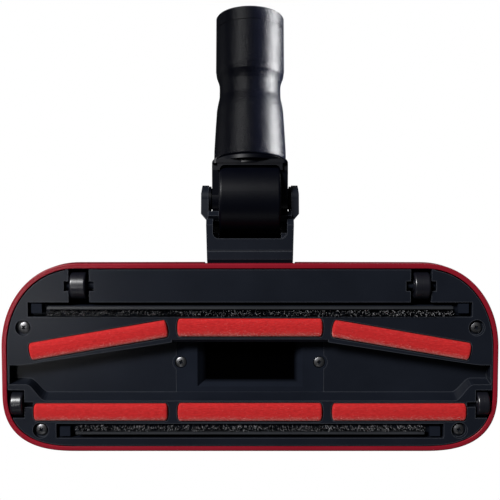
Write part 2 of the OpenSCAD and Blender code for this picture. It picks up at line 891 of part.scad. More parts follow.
module fork_upper() {
    color(ink) place() difference() {
        intersection() {
            fork_shape();
            box(-big, big, 0, big, pivot_z, big);
        }
        both_sides() translate([22, 63, 0]) cylinder(r = 1.3, h = big);
        both_sides() translate([22, 63, 36]) cylinder(r = 2.3, h = big);
        felt_strip();
    }
}

module fork_screws() {
    color(steel) place() both_sides() translate([22, 63, 12]) {
        cylinder(r = 1.3, h = 24);
        translate([0, 0, 24]) cylinder(r = 2.2, h = 1.4);
    }
}

module pivot_pins() {
    color(steel) place() both_sides() along_x(drum_w + 0.4, ear_out - 0.3)
        at_pivot() circle(pin_r);
}

// Felt strip let into the fork's hood, just clear of the drum
module felt_strip() {
    along_x(-fork_bore_w, fork_bore_w) at_pivot() rotate(hood_angle + 8)
        translate([drum_r + 0.12, -1]) square([1.3, 2]);
}

module drum_seal() {
    color(felt) place() felt_strip();
}

module knuckle() {
    color(ink) at_elbow() {
        both_sides() difference() {
            intersection() {
                union() {
                    along_x(drum_w, arm_out) {
                        circle(hub_r);
                        polygon([[0, -hub_r], [14, -arm_h], [wall_near + 0.6, -arm_h],
                            [wall_near + 0.6, arm_h], [14, arm_h], [0, hub_r]]);
                    }
                    along_x(drum_w, hub_out) circle(hub_end_r - 1.2);
                    along_x(arm_out + 0.9, hub_out) circle(hub_end_r);
                }
                linear_extrude(big, center = true) knuckle_plan();
            }
            along_x(drum_w - 1, hub_out + 1) circle(pin_r + fit);
        }
        difference() {
            union() {
                intersection() {
                    rotate([-90, 0, 0]) translate([0, 0, wall_near])
                        linear_extrude(wall_far - wall_near) rounded_wall();
                    linear_extrude(big, center = true) knuckle_plan();
                }
                translate([0, 0, 0.4 - wall_h]) linear_extrude(lip_t) window_lip();
                box(-drum_w - 1, drum_w + 1, window_y, wall_near + 1, wall_h - 0.4 - lip_t, wall_h - 0.4);
                rotate([-90, 0, 0]) translate([0, 0, wall_near + 0.5])
                    cylinder(r = spigot_r, h = spigot_end - wall_near - 0.5);
            }
            rotate([-90, 0, 0]) translate([0, 0, -1]) cylinder(r = air_r, h = spigot_end + 2);
            along_x(-drum_w, drum_w) circle(drum_r + 0.1, $fn = 96);
            // Groove for the locking ring
            rotate([-90, 0, 0]) translate([0, 0, ring_at]) difference() {
                cylinder(r = spigot_r + 1, h = 2);
                translate([0, 0, -1]) cylinder(r = spigot_r - 1, h = 4);
            }
        }
    }
}

// Plan of the knuckle's frame, with the corners next to the tube rounded
module knuckle_plan() {
    r = 2.2;
    translate([-hub_out - 1, -hub_r - 1]) square([2 * hub_out + 2, 2 * hub_r]);
    translate([-arm_out - 0.01, 0]) square([2 * arm_out + 0.02, wall_far - r]);
    translate([r - arm_out, 0]) square([2 * (arm_out - r), wall_far + 1]);
    for (s = [-1, 1]) translate([s * (arm_out - r), wall_far - r]) circle(r + 0.005);
}

// Lip that closes on the drum, seen from below, with the window's corners rounded
module window_lip() {
    w = drum_w - gap;
    difference() {
        translate([-drum_w - 1, window_y - window_r])
            square([2 * drum_w + 2, wall_near - window_y + window_r + 1]);
        translate([-w + window_r, 0]) square([2 * (w - window_r), window_y]);
        translate([-w, 0]) square([2 * w, window_y - window_r]);
        for (s = [-1, 1]) translate([s * (w - window_r), window_y - window_r]) circle(window_r);
    }
}

// End wall of the knuckle seen along the tube, corners rounded
module rounded_wall() {
    r = 2.5;
    square([2 * arm_out - 2 * r, 2 * wall_h], center = true);
    square([2 * arm_out, 2 * wall_h - 2 * r], center = true);
    for (x = [-1, 1], y = [-1, 1]) translate([x * (arm_out - r), y * (wall_h - r)]) circle(r);
}

// Hollow drum, open towards the fork's duct and towards the tube
module joint_drum() {
    cap_t = 1.5;
    color(ink) at_elbow() difference() {
        rotate([0, 90, 0]) rotate_extrude($fn = 96) intersection() {
            offset(r = drum_round, $fn = 32)
                square([2 * (drum_r - drum_round), 2 * (drum_w - drum_round)], center = true);
            translate([0, -drum_w]) square([drum_r, 2 * drum_w]);
        }
        along_x(-drum_w + cap_t, drum_w - cap_t) circle(drum_r - drum_t, $fn = 96);
        along_x(-air_r, air_r) sector(drum_r + 5, -37, 43);
        along_x(-drum_w + cap_t, drum_w - cap_t)
            sector(drum_r + 5, hood_angle - tube_tilt + 4, 188);
    }
}

module swivel_collar() {
    color(ink) about_tube() polygon([[spigot_r, wall_far], [21.1, wall_far],
        [21.2, collar_end - 0.5], [20.8, collar_end], [spigot_r, collar_end]]);
}

module swivel_ring() {
    color(steel) about_tube() translate([spigot_r - 1, ring_at + 0.1]) square([1.8, 1.8]);
}

module connecting_tube() {
    s = 62;              // where the tube is narrowest
    socket_start = tube_len - wand_depth;
    bore_in = spigot_r + fit;
    color(ink) about_tube() difference() {
        polygon([[bore_in, tube_start], [21.05, tube_start], [21.4, tube_start + 0.6],
            [21.3, 29], [20.95, 36],
            [20.5, 44], [19.9, s - 8.4], [19.45, s - 5.6], [19.0, s - 3.3], [18.55, s - 1.3],
            [18.37, s], [18.3, s + 5], [18.4, s + 7.4], [19.0, s + 9.8], [20.1, s + 12.8],
            [tube_end_r, s + 16.4],
            [tube_end_r, tube_len - 8], [20.1, tube_len - 7.6], [20.1, tube_len],
            [wand_r, tube_len], [wand_r, socket_start], [16.2, socket_start - 1.5],
            [16.2, 51], [bore_in, 51]]);
        // Room for the locking ring
        translate([0, ring_at - 0.2]) square([spigot_r + 1, 2.4]);
    }
}

// Felt ring between the spigot's end and the tube
module swivel_seal() {
    color(felt) about_tube() translate([air_r + 0.5, spigot_end + 0.3])
        square([spigot_r - air_r - 0.5, 4.6]);
}

// Trim ring round the tube's open end
module socket_ring() {
    color(dark) about_tube() polygon([[20.1, tube_len - 7.6], [tube_end_r, tube_len - 7.6],
        [tube_end_r, tube_len - 0.6], [tube_end_r - 0.4, tube_len], [20.1, tube_len]]);
}

top_shell();
sole_plate();
inner_duct();
duct_cover();
neck_seals();
detent_spring();
corner_screws();
channel_screws();
duct_screws();
rear_pad_left();
rear_pad_centre();
rear_pad_right();
front_pad_left();
front_pad_centre();
front_pad_right();
rear_axles();
side_axles();
rear_wheel_left();
rear_wheel_right();
side_wheel_left();
side_wheel_right();
brush_frame();
rear_bristles();
front_bristles();
rear_wiper();
front_wiper();
foot_pedal();
pedal_grip();
lift_shaft();
fork_lower();
fork_upper();
fork_screws();
pivot_pins();
drum_seal();
knuckle();
joint_drum();
swivel_collar();
swivel_ring();
connecting_tube();
swivel_seal();
socket_ring();
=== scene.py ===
"""Looks of the vacuum cleaner floor head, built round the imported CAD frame. Metres, +Z up."""
import json
import math
import random

import bmesh
import bpy
from mathutils import Matrix, Vector, noise


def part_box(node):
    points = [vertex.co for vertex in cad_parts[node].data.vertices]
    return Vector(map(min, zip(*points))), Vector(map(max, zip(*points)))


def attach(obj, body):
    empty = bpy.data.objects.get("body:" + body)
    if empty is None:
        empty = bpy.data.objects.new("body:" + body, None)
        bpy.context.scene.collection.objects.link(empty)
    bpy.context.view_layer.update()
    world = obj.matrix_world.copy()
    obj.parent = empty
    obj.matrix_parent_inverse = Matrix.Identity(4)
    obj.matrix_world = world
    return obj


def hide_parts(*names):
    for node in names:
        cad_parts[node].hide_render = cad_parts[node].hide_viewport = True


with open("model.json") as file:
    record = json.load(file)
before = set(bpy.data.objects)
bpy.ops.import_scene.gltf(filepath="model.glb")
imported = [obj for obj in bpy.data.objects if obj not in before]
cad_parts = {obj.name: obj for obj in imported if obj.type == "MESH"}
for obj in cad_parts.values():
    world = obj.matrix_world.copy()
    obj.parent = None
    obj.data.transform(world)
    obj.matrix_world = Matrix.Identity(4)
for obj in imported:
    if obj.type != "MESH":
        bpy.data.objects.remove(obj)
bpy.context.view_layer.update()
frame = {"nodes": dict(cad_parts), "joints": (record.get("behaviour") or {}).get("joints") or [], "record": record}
nodes = frame["nodes"]
bodies = frame["record"]["behaviour"]["bodies"]
joints = {j["name"]: j for j in frame["joints"]}
MM = 0.001


# ---------------------------------------------------------------- places

pivot = Vector(joints["elbow_tilt"]["pos_m"])
WORK_TO_PIVOT = 90.8 * MM
work_y = pivot.y - WORK_TO_PIVOT          # the CAD's work line, from which the head is measured
SOLE_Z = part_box("top_shell")[0].z


def at_head(x, y, z):
    """A place in millimetres from the work line, in the frame."""
    return Vector((x * MM, y * MM + work_y, z * MM))


# ---------------------------------------------------------------- materials

def new_material(name):
    mat = bpy.data.materials.new(name)
    mat.use_nodes = True
    tree = mat.node_tree
    return mat, tree.nodes, tree.links, tree.nodes["Principled BSDF"]


def object_coords(n, links, stretch=(1, 1, 1)):
    coord = n.new("ShaderNodeTexCoord")
    mapping = n.new("ShaderNodeMapping")
    mapping.inputs["Scale"].default_value = stretch
    links.new(coord.outputs["Object"], mapping.inputs["Vector"])
    return mapping.outputs["Vector"]


def noise_node(n, links, vector, scale, detail=3.0, rough=0.55):
    tex = n.new("ShaderNodeTexNoise")
    tex.inputs["Scale"].default_value = scale
    tex.inputs["Detail"].default_value = detail
    tex.inputs["Roughness"].default_value = rough
    links.new(vector, tex.inputs["Vector"])
    return tex.outputs["Fac"]


def ramp(n, links, fac, stops):
    node = n.new("ShaderNodeValToRGB")
    elements = node.color_ramp.elements
    while len(elements) < len(stops):
        elements.new(0.5)
    for element, (at, colour) in zip(elements, stops):
        element.position = at
        element.color = (*colour, 1)
    links.new(fac, node.inputs["Fac"])
    return node.outputs["Color"]


def spread(n, links, value, low, high, start=0, end=1):
    """Maps a value that runs from start to end onto low to high."""
    node = n.new("ShaderNodeMapRange")
    node.inputs["From Min"].default_value = start
    node.inputs["From Max"].default_value = end
    node.inputs["To Min"].default_value = low
    node.inputs["To Max"].default_value = high
    links.new(value, node.inputs["Value"])
    return node.outputs["Result"]


def bump(n, links, height, strength, distance, below=None):
    node = n.new("ShaderNodeBump")
    node.inputs["Strength"].default_value = strength
    node.inputs["Distance"].default_value = distance
    links.new(height, node.inputs["Height"])
    if below is not None:
        links.new(below, node.inputs["Normal"])
    return node.outputs["Normal"]


GRAIN_RELIEF_MM = 0.03
SLOW_LIGHTENING = 1.35


def moulded(name, colour, rough, grain_mm, grain, specular, relief_mm=GRAIN_RELIEF_MM):
    """Moulded plastic: fine erosion grain, slow changes of gloss, faint handling marks."""
    mat, n, links, bsdf = new_material(name)
    where = object_coords(n, links)
    fine = noise_node(n, links, where, 1 / (grain_mm * MM), 2)
    slow = noise_node(n, links, where, 28, 4)
    marks = noise_node(n, links, object_coords(n, links, (1, 9, 1)), 260, 6, 0.7)
    lighter = tuple(c * SLOW_LIGHTENING for c in colour)
    links.new(ramp(n, links, slow, [(0.3, colour), (0.75, lighter)]), bsdf.inputs["Base Color"])
    mixed = n.new("ShaderNodeMath")
    mixed.operation = "ADD"
    links.new(spread(n, links, slow, -0.05, 0.05), mixed.inputs[0])
    links.new(spread(n, links, marks, rough - 0.05, rough + 0.07), mixed.inputs[1])
    links.new(mixed.outputs[0], bsdf.inputs["Roughness"])
    links.new(bump(n, links, fine, grain, relief_mm * MM), bsdf.inputs["Normal"])
    bsdf.inputs["Specular IOR Level"].default_value = specular
    return mat


# Near black of the painted shade up the air passage
DUCT_SHADE = (0.0003, 0.0003, 0.0004)


def shade_with_height(mat, start, end):
    """Darkens a plastic and dulls its gloss with height: painted shade up inside the air passage."""
    n, links = mat.node_tree.nodes, mat.node_tree.links
    bsdf = n["Principled BSDF"]
    coord = n.new("ShaderNodeTexCoord")
    split = n.new("ShaderNodeSeparateXYZ")
    links.new(coord.outputs["Object"], split.inputs["Vector"])
    height = spread(n, links, split.outputs["Z"], 0, 1, start, end)
    plain = bsdf.inputs["Base Color"].links[0].from_socket
    links.new(blend_colours(n, links, height, plain, DUCT_SHADE), bsdf.inputs["Base Color"])
    gloss = bsdf.inputs["Specular IOR Level"]
    links.new(spread(n, links, split.outputs["Z"], gloss.default_value, 0, start, end), gloss)
    return mat


# Painted highlight along rounded edges
EDGE_HIGHLIGHT_RADIUS = 0.6 * MM
EDGE_HIGHLIGHT_START, EDGE_HIGHLIGHT_FULL = 0.995, 0.9          # cosine between the rounded and the plain normal


def paint_edge_highlight(mat, pale):
    """Pales a plastic along its rounded edges: a painted highlight on the edges."""
    n, links = mat.node_tree.nodes, mat.node_tree.links
    bsdf = n["Principled BSDF"]
    rounded = n.new("ShaderNodeBevel")
    rounded.samples = 6
    rounded.inputs["Radius"].default_value = EDGE_HIGHLIGHT_RADIUS
    surface = n.new("ShaderNodeNewGeometry")
    same = n.new("ShaderNodeVectorMath")
    same.operation = "DOT_PRODUCT"
    links.new(rounded.outputs["Normal"], same.inputs[0])
    links.new(surface.outputs["Normal"], same.inputs[1])
    edge = spread(n, links, same.outputs["Value"], 0, 1, EDGE_HIGHLIGHT_START, EDGE_HIGHLIGHT_FULL)
    plain = bsdf.inputs["Base Color"].links[0].from_socket
    links.new(blend_colours(n, links, edge, plain, pale), bsdf.inputs["Base Color"])
    return mat


def lacquer(name, colour, deep):
    """Glossy coloured shell: slight orange peel and dust-fine scratches in the gloss."""
    mat, n, links, bsdf = new_material(name)
    where = object_coords(n, links)
    slow = noise_node(n, links, where, 18, 3)
    links.new(ramp(n, links, slow, [(0.3, deep), (0.7, colour)]), bsdf.inputs["Base Color"])
    peel = noise_node(n, links, where, 700, 2)
    scratch = noise_node(n, links, object_coords(n, links, (1, 14, 4)), 420, 8, 0.75)
    links.new(spread(n, links, scratch, 0.2, 0.34), bsdf.inputs["Roughness"])
    links.new(bump(n, links, peel, 0.06, 0.05 * MM), bsdf.inputs["Normal"])
    bsdf.inputs["Specular IOR Level"].default_value = 0.16
    return mat


def attribute(n, name):
    node = n.new("ShaderNodeAttribute")
    node.attribute_name = name
    return node.outputs["Fac"]


def blend_colours(n, links, factor, low, high):
    node = n.new("ShaderNodeMix")
    node.data_type = "RGBA"
    links.new(factor, node.inputs["Factor"])
    for socket, value in (("A", low), ("B", high)):
        if isinstance(value, tuple):
            node.inputs[socket].default_value = (*value, 1)
        else:
            links.new(value, node.inputs[socket])
    return node.outputs["Result"]


# Extra painted glints on fibre tips along the worn edge
WORN_EDGE_GLINTS = 0.2


def velour(name, colour, deep, worn, glint):
    """Short one-way nap: streaks across the strip, a worn front edge, and painted glints on fibre tips that crowd
    towards that edge.
    """
    mat, n, links, bsdf = new_material(name)
    where = object_coords(n, links)
    nap = noise_node(n, links, object_coords(n, links, (0.5, 1.5, 1)), 800, 4, 0.7)
    patch = noise_node(n, links, where, 150, 3)
    tips = noise_node(n, links, where, 2300, 2, 0.8)
    glint_spots = n.new("ShaderNodeMath")
    glint_spots.operation = "MULTIPLY_ADD"
    links.new(attribute(n, "worn"), glint_spots.inputs[0])
    glint_spots.inputs[1].default_value = WORN_EDGE_GLINTS
    links.new(tips, glint_spots.inputs[2])
    base = ramp(n, links, nap, [(0.34, deep), (0.62, colour)])
    edge = n.new("ShaderNodeMath")
    edge.operation = "MULTIPLY"
    links.new(ramp(n, links, attribute(n, "worn"), [(0.1, (0, 0, 0)), (0.9, (1, 1, 1))]),
              edge.inputs[0])
    links.new(ramp(n, links, patch, [(0.4, (0.25, 0.25, 0.25)), (0.62, (1, 1, 1))]), edge.inputs[1])
    cloth = blend_colours(n, links, edge.outputs[0], base, worn)
    # Painted glints on the fibre tips
    cut = ramp(n, links, glint_spots.outputs[0], [(0.67, (0, 0, 0)), (0.75, (1, 1, 1))])
    links.new(blend_colours(n, links, cut, cloth, glint), bsdf.inputs["Base Color"])
    bsdf.inputs["Roughness"].default_value = 0.9
    bsdf.inputs["Specular IOR Level"].default_value = 0.2
    bsdf.inputs["Sheen Weight"].default_value = 0.12
    bsdf.inputs["Sheen Roughness"].default_value = 0.4
    bsdf.inputs["Sheen Tint"].default_value = (1, 0.45, 0.4, 1)
    rough = bump(n, links, nap, 0.5, 0.15 * MM)
    links.new(bump(n, links, tips, 0.45, 0.08 * MM, rough), bsdf.inputs["Normal"])
    return mat


def filament(name, low, high):
    """Nylon bristle whose tone differs from one filament to the next, paler at the tip; darker towards the foot as
    painted shade among the filaments.
    """
    mat, n, links, bsdf = new_material(name)
    tone = ramp(n, links, attribute(n, "tone"), [(0.5, low), (0.97, high)])
    links.new(tone, bsdf.inputs["Base Color"])
    grain = noise_node(n, links, object_coords(n, links), 2500, 2)
    links.new(spread(n, links, grain, 0.3, 0.55), bsdf.inputs["Roughness"])
    return mat


def plated(name, colour, rough):
    """Zinc-plated steel: turned streaks and dull specks."""
    mat, n, links, bsdf = new_material(name)
    streak = noise_node(n, links, object_coords(n, links, (1, 1, 12)), 1500, 4, 0.6)
    speck = noise_node(n, links, object_coords(n, links), 900, 3)
    dark = tuple(c * 0.6 for c in colour)
    links.new(ramp(n, links, speck, [(0.35, dark), (0.6, colour)]), bsdf.inputs["Base Color"])
    bsdf.inputs["Metallic"].default_value = 1.0
    links.new(spread(n, links, streak, rough - 0.1, rough + 0.12), bsdf.inputs["Roughness"])
    links.new(bump(n, links, streak, 0.12, 0.02 * MM), bsdf.inputs["Normal"])
    return mat


def fibrous(name, colour, scale):
    """Felt or nylon: rough, with short fibres that vary in tone."""
    mat, n, links, bsdf = new_material(name)
    fibre = noise_node(n, links, object_coords(n, links, (1, 3, 0.6)), scale, 5, 0.7)
    pale = tuple(min(1, c * 3.2) for c in colour)
    links.new(ramp(n, links, fibre, [(0.4, colour), (0.78, pale)]), bsdf.inputs["Base Color"])
    bsdf.inputs["Roughness"].default_value = 0.6
    bsdf.inputs["Sheen Weight"].default_value = 0.2
    links.new(bump(n, links, fibre, 0.5, 0.1 * MM), bsdf.inputs["Normal"])
    return mat


# moulded: colour, roughness, grain's size in mm, its strength, specular level, its relief in mm
SHELL_RED = lacquer("shell_red", (0.27, 0.0115, 0.023), (0.23, 0.008, 0.017))
# The shell's inside and the ledge under the neck: painted shade in near black
SHELL_INSIDE_SHADE = moulded("shell_inside", (0.0012, 0.0006, 0.0008), 0.6, 0.4, 0.2, 0.02)
# Body plastic with a painted highlight along its edges
BODY = paint_edge_highlight(moulded("body_plastic", (0.0074, 0.0092, 0.0143), 0.34, 0.3, 0.22, 0.2),
              (0.06, 0.065, 0.078))
# Inner plastic with painted shade, darker higher up the duct
INNER = shade_with_height(moulded("inner_plastic", (0.0085, 0.0106, 0.0166), 0.42, 0.3, 0.18, 0.05),
               14.5 * MM, 17 * MM)
JOINT = moulded("joint_plastic", (0.0007, 0.001, 0.003), 0.36, 0.4, 0.3, 0.2)
TUBE = moulded("tube_plastic", (0.0012, 0.0014, 0.0028), 0.21, 0.7, 1.0, 0.06, 0.3)
# Velour red; the last colour is the painted glint on fibre tips
PAD = velour("pad_velour", (0.59, 0.022, 0.023), (0.43, 0.012, 0.014), (0.6, 0.085, 0.07),
             (0.9, 0.48, 0.44))
STEEL = plated("screw_steel", (0.33, 0.33, 0.34), 0.34)
BRISTLE = filament("bristle_nylon", (0.002, 0.002, 0.003), (0.75, 0.75, 0.78))
LIP = moulded("wiper_rubber", (0.02, 0.022, 0.026), 0.4, 0.3, 0.2, 0.6)
WHEEL = moulded("wheel_rubber", (0.006, 0.0062, 0.010), 0.3, 0.5, 0.2, 0.9)
GRIP = moulded("grip_rubber", (0.012, 0.012, 0.013), 0.7, 0.25, 0.4, 0.5)
FELT = fibrous("felt_seal", (0.03, 0.03, 0.032), 2400)

MATERIAL_OF = {
    "shell": SHELL_RED, "body_plastic": BODY, "inner_plastic": INNER, "tube_plastic": TUBE,
    "velour": PAD, "steel": STEEL, "bristle": BRISTLE, "wheel_rubber": WHEEL,
    "soft_rubber": GRIP, "felt": FELT,
}
slot_of = {s["node"]: s["material_slot"] for s in frame["record"]["subparts"]}
OWN_MATERIAL = {"knuckle": JOINT, "joint_drum": JOINT, "swivel_collar": JOINT,
                "rear_wiper": LIP, "front_wiper": LIP}


# ---------------------------------------------------------------- CAD nodes that stay

SHARP_DEG, FLAT_DEG = 32, 0.6


def smooth(obj):
    for poly in obj.data.polygons:
        poly.use_smooth = True


def round_edges(obj, width, sharp_deg, segments=2):
    edges = obj.modifiers.new("rounded_edges", "BEVEL")
    edges.width = width
    edges.segments = segments
    edges.limit_method = "ANGLE"
    edges.angle_limit = math.radians(sharp_deg)
    edges.harden_normals = True


def dress(name, edge):
    """A CAD node keeps its shape: it gets its material, clean faces and small rounded edges."""
    obj = nodes[name]
    obj.data.materials.clear()
    obj.data.materials.append(OWN_MATERIAL.get(name, MATERIAL_OF[slot_of[name]]))
    smooth(obj)
    if edge:
        flat = obj.modifiers.new("join_flat_faces", "DECIMATE")
        flat.decimate_type = "DISSOLVE"
        flat.angle_limit = math.radians(FLAT_DEG)
        round_edges(obj, edge, SHARP_DEG)


EDGE = 0.2                                # mm, where the list below names no other
EDGES = {"sole_plate": 0.7, "inner_duct": 0.5, "fork_lower": 0.5, "fork_upper": 0.6,
         "knuckle": 0.6, "joint_drum": 0.7, "foot_pedal": 0.6, "pedal_grip": 0.2,
         "duct_screws": 0.12, "rear_wiper": 0.6, "front_wiper": 0.6,
         "connecting_tube": 0.25, "socket_ring": 0.2, "swivel_collar": 0.3,
         "neck_seals": 0, "drum_seal": 0, "swivel_seal": 0, "swivel_ring": 0.1}
for name in nodes:
    dress(name, EDGES.get(name, EDGE) * MM)


# ---------------------------------------------------------------- mesh helpers

def new_object(name, bm, mat, is_smooth=True):
    mesh = bpy.data.meshes.new(name)
    bmesh.ops.recalc_face_normals(bm, faces=bm.faces)
    bm.to_mesh(mesh)
    bm.free()
    obj = bpy.data.objects.new(name, mesh)
    bpy.context.scene.collection.objects.link(obj)
    mesh.materials.append(mat)
    if is_smooth:
        smooth(obj)
    return obj


def grid_faces(bm, rows, closed=True):
    """Quads between successive rows of vertices."""
    for a, b in zip(rows, rows[1:]):
        count = len(a)
        for i in range(count if closed else count - 1):
            j = (i + 1) % count
            bm.faces.new((a[i], a[j], b[j], b[i]))


def bake(obj):
    """Applies an object's modifiers to its mesh."""
    graph = bpy.context.evaluated_depsgraph_get()
    mesh = bpy.data.meshes.new_from_object(obj.evaluated_get(graph))
    obj.modifiers.clear()
    obj.data = mesh


def block(bm, low, high):
    """A closed box between two corners."""
    made = bmesh.ops.create_cube(bm, size=1)
    for v in made["verts"]:
        v.co = Vector([(a + b) / 2 + c * (b - a) for a, b, c in zip(low, high, v.co)])


def cut(obj, cutter):
    """Takes cutter's shape out of obj, then removes cutter."""
    change = obj.modifiers.new("cut", "BOOLEAN")
    change.operation = "DIFFERENCE"
    change.object = cutter
    change.solver = "EXACT"
    change.use_self = True
    change.material_mode = "TRANSFER"
    bake(obj)
    bpy.data.objects.remove(cutter)


def stands_for(obj, body, slot_name, *replaced):
    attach(obj, body)
    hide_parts(*replaced)


# ---------------------------------------------------------------- shell

HEAD_W, HEAD_REAR, HEAD_FRONT = 286, 54, -55
MID_H, WING_H, HUMP_W, CREST_RISE = 41, 27, 75, 0.12
CORNER_A, REAR_CORNER_Y, FRONT_CORNER_Y = 43, 5, -20
REAR_POWER, FRONT_POWER = 2.06, 2.6
SKIRT_Z, SKIRT_MIDDLE, EDGE_BAND, EDGE_POWER = 14, 0.6, 26, 2.3
RIM_WALL, SHELL_WALL, RIM_ROUND = 2.9, 2.3, 0.9
RIM_STRIP_Z, NOTCH_Y, NOTCH_W = 7.5, 39.5, 26.6
PEDAL_HALF = (23.8, 22.9)
SHAFT_Y, PEDAL_CUT_Z, ABOVE_SHELL, BEHIND_SHELL = -8, 25, 90, 90
LEDGE_Z, LEDGE_DEPTH, LEDGE_PAST, LEDGE_PLAY, LEDGE_INSET = 5.5, 4, 2, 0.1, 1
CORNER_STEPS, SIDE_STEPS, DOME_RINGS, RING_CROWDING = 36, 70, 18, 1.6
INNER_BEAD_STEPS, OUTER_BEAD_STEPS = 5, 7
CUT_EDGE, CUT_SHARP_DEG = 0.5 * MM, 50


def quarter(cx, cy, a, b, power, start):
    """A quarter of a superellipse about (cx, cy)."""
    points = []
    for i in range(CORNER_STEPS + 1):
        angle = math.radians(start + 90 * i / CORNER_STEPS)
        c, s = math.cos(angle), math.sin(angle)
        points.append((cx + a * math.copysign(abs(c) ** (2 / power), c),
                       cy + b * math.copysign(abs(s) ** (2 / power), s)))
    return points


def straight(x0, x1, y):
    """Points between two corners, without the corners' own end points."""
    return [(x0 + (x1 - x0) * i / SIDE_STEPS, y) for i in range(1, SIDE_STEPS)]


def head_outline(inset):
    """Plan of the head drawn in by inset, the same curve as the CAD's."""
    cx, a = HEAD_W / 2 - CORNER_A, CORNER_A - inset
    rear, front = HEAD_REAR - REAR_CORNER_Y - inset, FRONT_CORNER_Y - HEAD_FRONT - inset
    return (quarter(cx, REAR_CORNER_Y, a, rear, REAR_POWER, 0)
            + straight(cx, -cx, HEAD_REAR - inset)
            + quarter(-cx, REAR_CORNER_Y, a, rear, REAR_POWER, 90)
            + quarter(-cx, FRONT_CORNER_Y, a, front, FRONT_POWER, 180)
            + straight(-cx, cx, HEAD_FRONT + inset)
            + quarter(cx, FRONT_CORNER_Y, a, front, FRONT_POWER, 270))


def crest(x, y):
    """Height of the shell's crown, in millimetres."""
    return WING_H + (MID_H - WING_H) * math.exp(-(x / HUMP_W) ** 2) + CREST_RISE * y


def dome_ring(inset, drop, d):
    """Ring d inside the plan's edge, on the crown lowered by drop."""
    rise = (1 - (1 - min(d / EDGE_BAND, 1)) ** EDGE_POWER) ** (1 / EDGE_POWER)
    return [at_head(x, y, SKIRT_Z + rise * (crest(x, y) - drop - SKIRT_Z))
            for x, y in head_outline(inset + d)]


def level_ring(inset, z):
    return [at_head(x, y, z) for x, y in head_outline(inset)]


def shell_rings():
    """Rings from the middle of the shell's inside, round the rim, to the middle of its outside."""
    sole = SOLE_Z / MM
    depths = [EDGE_BAND * (k / DOME_RINGS) ** RING_CROWDING for k in range(DOME_RINGS + 1)]
    inside = [dome_ring(RIM_WALL, SHELL_WALL, d) for d in reversed(depths)]
    inner_round = RIM_ROUND / 2
    bead = []
    for i in range(INNER_BEAD_STEPS + 1):
        turn = math.radians(90 * i / INNER_BEAD_STEPS)
        bead.append(level_ring(RIM_WALL - inner_round * (1 - math.cos(turn)),
                               sole + inner_round * (1 - math.sin(turn))))
    for i in range(OUTER_BEAD_STEPS + 1):
        turn = math.radians(90 * i / OUTER_BEAD_STEPS)
        bead.append(level_ring(RIM_ROUND * (1 - math.sin(turn)),
                               sole + RIM_ROUND * (1 - math.cos(turn))))
    outside = [level_ring(0, SKIRT_Z * SKIRT_MIDDLE)] + [dome_ring(0, 0, d) for d in depths]
    return inside, bead, outside


def smooth_shell():
    """The CAD's shell as one even surface, red outside, inside painted near black as shade, with its two openings.
    """
    inside, bead, outside = shell_rings()
    bm = bmesh.new()
    rows = [[bm.verts.new(p) for p in ring] for ring in inside + bead + outside]
    grid_faces(bm, rows)
    count = len(rows[0])
    for row in (rows[0], rows[-1]):       # each middle is closed by quads from rear to front
        for i in range(count // 2 - 1):
            bm.faces.new((row[i], row[i + 1], row[count - 2 - i], row[count - 1 - i]))
    first_bead_face = count * len(inside)
    inner_middle = count * (len(rows) - 1)
    outer_middle = inner_middle + count // 2 - 1
    # The inside's faces take the painted shade
    for i, face in enumerate(bm.faces):
        if i < first_bead_face or inner_middle <= i < outer_middle:
            face.material_index = 1
    obj = new_object("shell_smooth", bm, SHELL_RED)
    obj.data.materials.append(SHELL_INSIDE_SHADE)
    cutter = bmesh.new()
    block(cutter, at_head(-NOTCH_W, NOTCH_Y, RIM_STRIP_Z),
          at_head(NOTCH_W, BEHIND_SHELL, ABOVE_SHELL))
    block(cutter, at_head(-PEDAL_HALF[0], SHAFT_Y - PEDAL_HALF[1], PEDAL_CUT_Z),
          at_head(PEDAL_HALF[0], SHAFT_Y + PEDAL_HALF[1], ABOVE_SHELL))
    cut(obj, new_object("shell_cutter", cutter, SHELL_RED, is_smooth=False))
    round_edges(obj, CUT_EDGE, CUT_SHARP_DEG, 3)
    stands_for(obj, "head", "shell", "top_shell")


def neck_ledge():
    """Ledge of the shell behind the rim, which closes the gap under the neck; painted near black as shade."""
    bm = bmesh.new()
    block(bm, at_head(-NOTCH_W - LEDGE_PAST, HEAD_REAR - RIM_WALL - LEDGE_DEPTH, LEDGE_Z),
          at_head(NOTCH_W + LEDGE_PAST, HEAD_REAR - LEDGE_INSET, RIM_STRIP_Z - LEDGE_PLAY))
    obj = new_object("neck_ledge", bm, SHELL_INSIDE_SHADE, is_smooth=False)
    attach(obj, "head")


smooth_shell()
neck_ledge()


# ---------------------------------------------------------------- lint pads

PAD_BOW = 2.2 * MM                        # length over which a pad's end is rounded
PAD_STEP, PAD_ACROSS = 0.55 * MM, 24
END_CROWDING = 0.4
PAD_SQUASH, PAD_SINK = 0.02 * MM, 0.25 * MM
SIDE_POWER, END_POWER, CROWN_POWER = 3.33, 4, 3
NAP_HEIGHT, NAP_AT_BASE = 0.09 * MM, 0.3
NAP_X, NAP_Y, NAP_SHARE, NAP_SLICE = 900, 1900, 0.7, 0.4
FUZZ, FUZZ_SHARE, FUZZ_SLICE = 2600, 0.5, 3.1


def pad_axis(node):
    """Middle, direction, half length and half width of a pad, from its CAD solid."""
    low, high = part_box(node)
    mid = (low + high) / 2
    points = [v.co.xy - mid.xy for v in nodes[node].data.vertices]
    sxx, syy = sum(p.x * p.x for p in points), sum(p.y * p.y for p in points)
    sxy = sum(p.x * p.y for p in points)
    angle = math.atan2(2 * sxy, sxx - syy) / 2
    along = Vector((math.cos(angle), math.sin(angle)))
    across = Vector((-along.y, along.x))
    half_len = max(abs(p.dot(along)) for p in points)
    half_w = max(abs(p.dot(across)) for p in points)
    return mid, along, across, half_len, half_w, low.z, high.z


